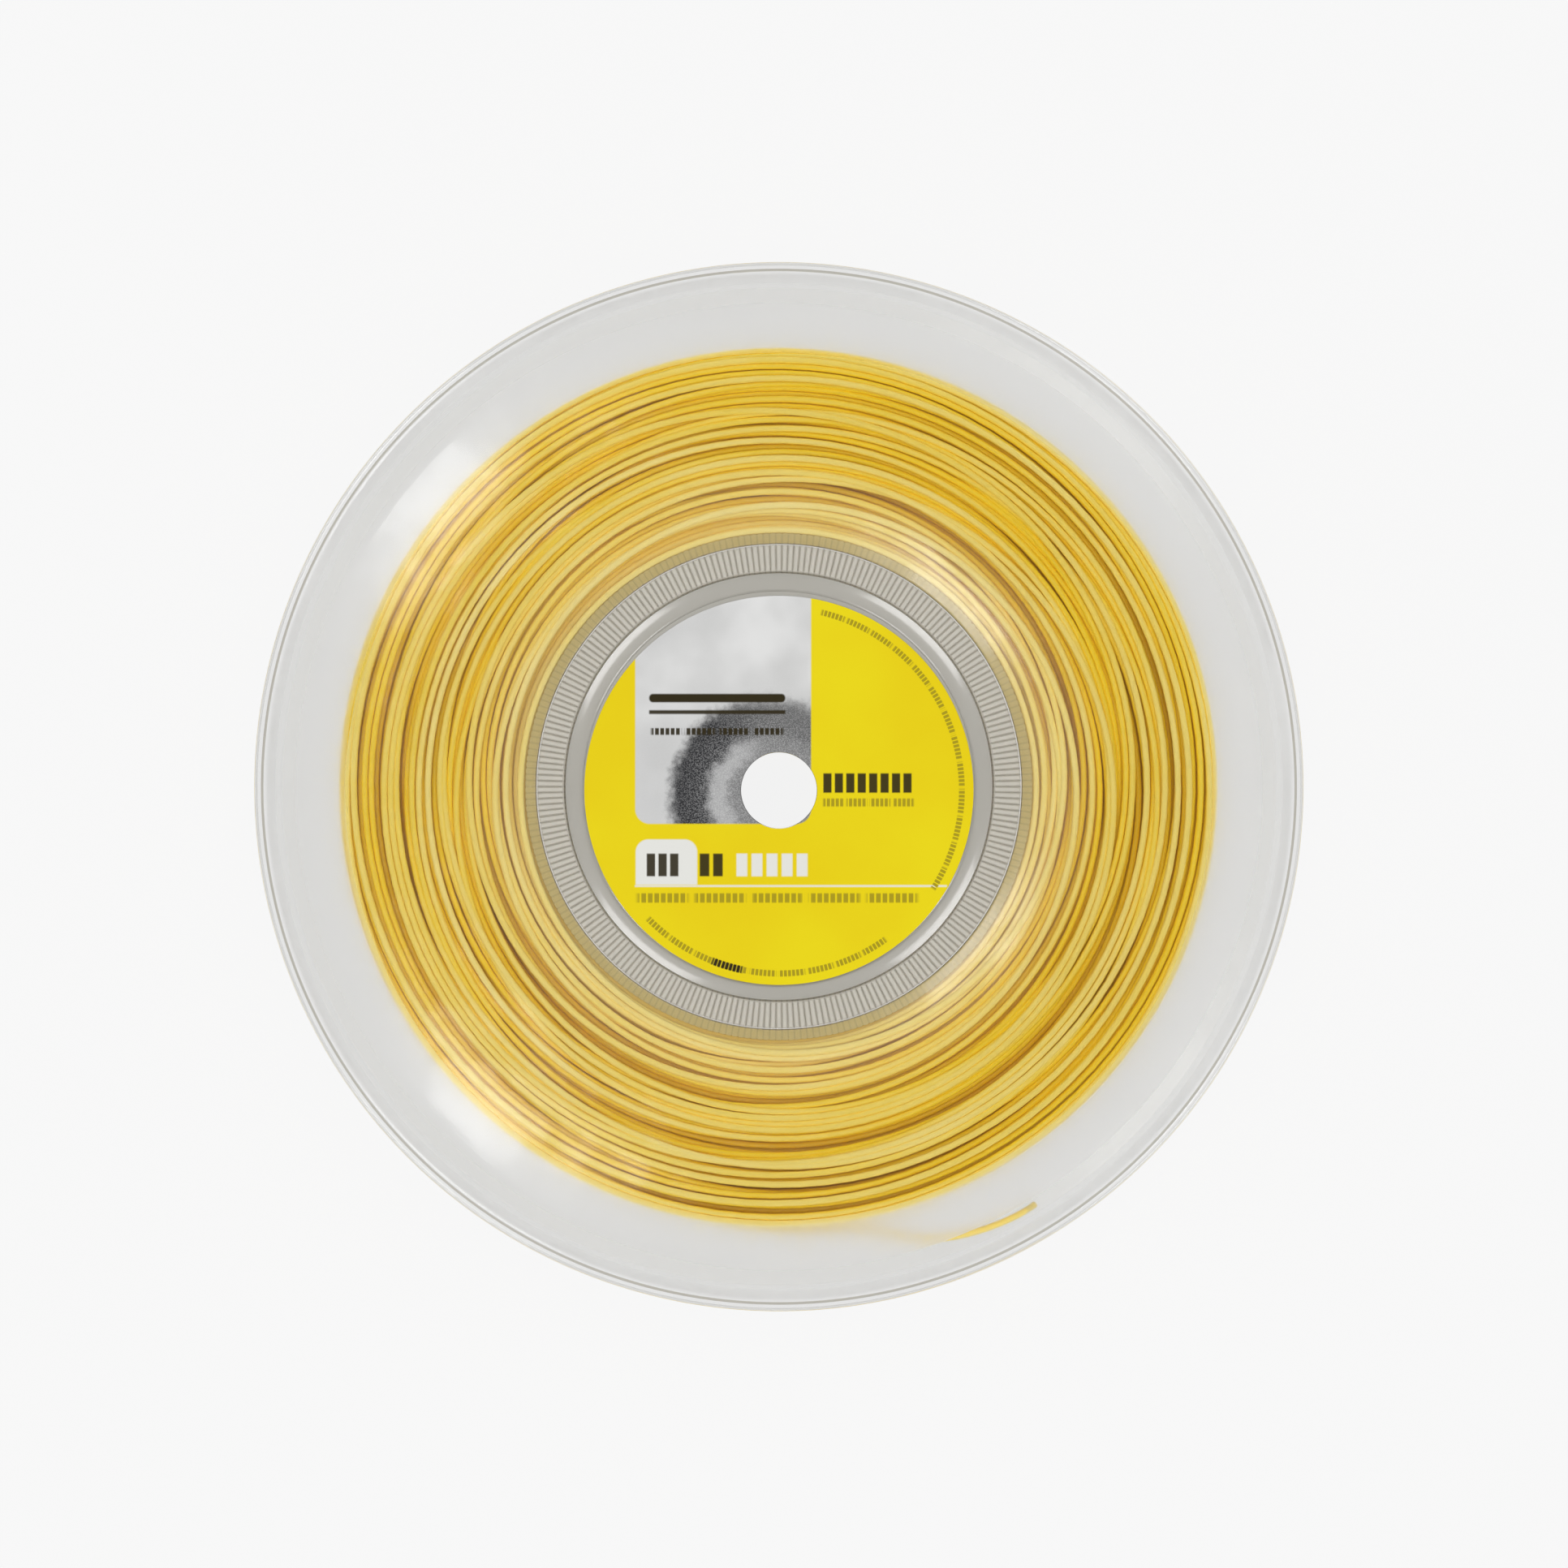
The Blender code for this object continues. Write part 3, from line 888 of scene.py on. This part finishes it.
def tube(name, path, shade, finish):
    """A round tube along path, with closed ends.  The mesh keeps each point's shade and depth."""
    along = unit(np.gradient(path, axis=0))
    out = unit(path * (1, 1, 0))
    out = unit(out - (out * along).sum(1)[:, None] * along)
    side = np.cross(along, out)
    around = (np.arange(STRAND_SIDES) * 2 * math.pi / STRAND_SIDES)[None, :, None]
    spokes = np.cos(around) * out[:, None] + np.sin(around) * side[:, None]
    points = path[:, None] + GAUGE / 2 * spokes
    number = np.arange(len(path) * STRAND_SIDES).reshape(len(path), STRAND_SIDES)
    a, b = number[:-1], number[1:]
    quads = np.stack([a, np.roll(a, -1, axis=1), np.roll(b, -1, axis=1), b], axis=-1)
    loops = np.concatenate([quads.ravel(), number[0][::-1], number[-1]])
    starts = np.append(np.arange(0, quads.size, 4), [quads.size, quads.size + STRAND_SIDES])
    piece = add_mesh(name, points.reshape(-1, 3), loops, starts, (finish,))
    values = {"shade": np.repeat(shade, STRAND_SIDES), "depth": buried(points.reshape(-1, 3))}
    for key, rows in values.items():
        layer = piece.data.attributes.new(key, "FLOAT", "POINT")
        layer.data.foreach_set("value", rows.astype(np.float32))
    return piece


def make_winding(finish):
    """The wound string, in lengths that follow on from each other, with painted light that makes it
    paler near the hub.
    """
    usual, painted_paleness, spread = 0.42, 0.5, 0.3
    pale_radius, pale_width = 60 * MM, 10 * MM
    path = string_path()
    rng = np.random.default_rng(8)
    # painted light: strands near the hub get a paler shade
    near_hub = np.clip((pale_radius - np.hypot(path[:, 0], path[:, 1])) / pale_width, 0, 1)
    shade = usual + painted_paleness * near_hub + spread * smooth_noise(rng, len(path), FINER * SAMPLES // 2)
    shade = np.clip(shade, 0, 1)
    cuts = np.linspace(0, len(path) - 1, LENGTHS + 1).astype(int)
    for i, (start, end) in enumerate(zip(cuts, cuts[1:])):
        piece = tube(f"wound_string_{i + 1}", path[start:end + 1], shade[start:end + 1], finish)
        place(piece, "string_winding")


def smooth_route(knots, spacing):
    """Points along a smooth curve through the knots, about this far apart."""
    ends = [knots[0]] + list(knots) + [knots[-1]]
    points = []
    for group in zip(ends, ends[1:], ends[2:], ends[3:]):
        count = max(1, round(math.dist(group[1], group[2]) / spacing))
        for i in range(count):
            points.append(tuple(curve_point(*near, i / count) for near in zip(*group)))
    points.append(tuple(knots[-1]))
    return points


def make_tail(finish):
    """The string's loose end, which lies along the rear flange and dips into it at the tie slot.

    Only the CAD model's flange has the slot cut in it.
    """
    knots = [
        (r * math.cos(math.radians(turn)), r * math.sin(math.radians(turn)), z)
        for r, turn, z in TAIL_ROUTE
    ]
    curve = bpy.data.curves.new("loose_end", "CURVE")
    curve.dimensions = "3D"
    curve.bevel_depth = GAUGE / 2
    curve.bevel_resolution = 3
    curve.use_fill_caps = True
    points = smooth_route(knots, GAUGE / 2)
    spline = curve.splines.new("POLY")
    spline.points.add(len(points) - 1)
    for point, spot in zip(spline.points, points):
        point.co = (*spot, 1.0)
    curve.materials.append(finish)
    piece = link(bpy.data.objects.new("loose_end", curve))
    place(piece, "string_tail")


# ---------------------------------------------------------------- studio

def make_floor():
    """A wide table that glows almost white, as a light table does."""
    half = 6.0
    glow = 0.872
    corners = [(-half, -half, 0), (half, -half, 0), (half, half, 0), (-half, half, 0)]
    mesh = bpy.data.meshes.new("floor")
    mesh.from_pydata(corners, [], [(0, 1, 2, 3)])
    g = Graph("pale_floor")
    colour = g.mix(g.noise(3.0, 2.0), grey(0.047), grey(0.053))
    body = g.node("ShaderNodeBsdfPrincipled", Base_Color=colour, Roughness=0.9)
    g.put(0.0, body.inputs["Specular IOR Level"])
    g.put(grey(1.0), body.inputs["Emission Color"])
    g.put(glow, body.inputs["Emission Strength"])
    mesh.materials.append(g.finish(body.outputs[0]))
    floor = link(bpy.data.objects.new("floor", mesh))


def lamp(name, kind, energy, place_at=(0.0, 0.0, 1.0)):
    """A lamp that points at the origin."""
    data = bpy.data.lights.new(name, kind)
    data.energy = energy
    thing = link(bpy.data.objects.new(name, data))
    thing.location = place_at
    thing.rotation_euler = Vector(place_at).to_track_quat("Z", "Y").to_euler()
    return thing


def softbox(name, azimuth, zenith, distance, length, width, energy):
    """A soft lamp, zenith degrees from straight overhead, that gives a streak of gloss."""
    turn, tilt = math.radians(azimuth), math.radians(zenith)
    spot = (
        distance * math.sin(tilt) * math.cos(turn),
        distance * math.sin(tilt) * math.sin(turn),
        distance * math.cos(tilt),
    )
    box = lamp(name, "AREA", energy, spot)
    box.data.shape = "RECTANGLE"
    box.data.size = width
    box.data.size_y = length
    box.visible_transmission = False


def ramp_of(tree, value, kind="LINEAR", **inputs):
    """A Map Range node of the world's tree that reads value."""
    ramp = tree.nodes.new("ShaderNodeMapRange")
    ramp.interpolation_type = kind
    for key, number in inputs.items():
        ramp.inputs[key.replace("_", " ")].default_value = number
    tree.links.new(value, ramp.inputs["Value"])
    return ramp.outputs["Result"]


def make_world():
    """Soft light, a little weaker towards the zenith, with a dark hood straight overhead."""
    world = bpy.data.worlds.new("studio")
    world.use_nodes = True
    tree = world.node_tree
    around = tree.nodes.new("ShaderNodeTexCoord")
    split = tree.nodes.new("ShaderNodeSeparateXYZ")
    tree.links.new(around.outputs["Generated"], split.inputs[0])
    height = split.outputs["Z"]
    sky = ramp_of(tree, height, From_Max=0.965, To_Min=0.42, To_Max=0.32)
    hood = ramp_of(tree, height, "SMOOTHSTEP", From_Min=0.90, From_Max=0.985, To_Min=1.0, To_Max=0.25)
    shaded = tree.nodes.new("ShaderNodeMath")
    shaded.operation = "MULTIPLY"
    tree.links.new(sky, shaded.inputs[0])
    tree.links.new(hood, shaded.inputs[1])
    background = tree.nodes["Background"]
    tree.links.new(shaded.outputs[0], background.inputs["Strength"])
    background.inputs["Color"].default_value = grey(1.0)
    bpy.context.scene.world = world


def make_lights():
    """A broad lamp overhead, two long softboxes near it, and four wider ones further down."""
    make_world()
    overhead = lamp("overhead", "SUN", 0.8)
    overhead.data.angle = math.radians(50.0)
    overhead.visible_glossy = False
    overhead.visible_transmission = False
    for name, azimuth in (("lower_left", -132), ("upper_left", 141)):
        softbox("high_" + name, azimuth, zenith=7.9, distance=2.5, length=0.34, width=0.11, energy=0.72)
    for name, azimuth in (("lower_left", -132), ("upper_left", 141), ("right", -40), ("top", 50)):
        softbox("side_" + name, azimuth, zenith=44.0, distance=1.2, length=0.5, width=0.45, energy=3.5)
    bpy.context.scene.view_settings.view_transform = "Standard"


def core_material():
    """The milky clear plastic of the caps and the spindle tube."""
    tint = (0.39, 0.375, 0.335, 1.0)
    lit = (0.88, 0.87, 0.84, 1.0)
    return moulded_clear("clear_core", tint, lit, roughness=0.38, haze=0.75, ior=1.59, coat=1.0)


make_camera()
gold = string_material()
make_tail(gold)
make_flanges()
make_collars()
make_drum()
milky_clear = core_material()
make_caps(milky_clear)
make_spindle_tube(milky_clear)
make_labels()
make_winding(gold)
make_floor()
make_lights()
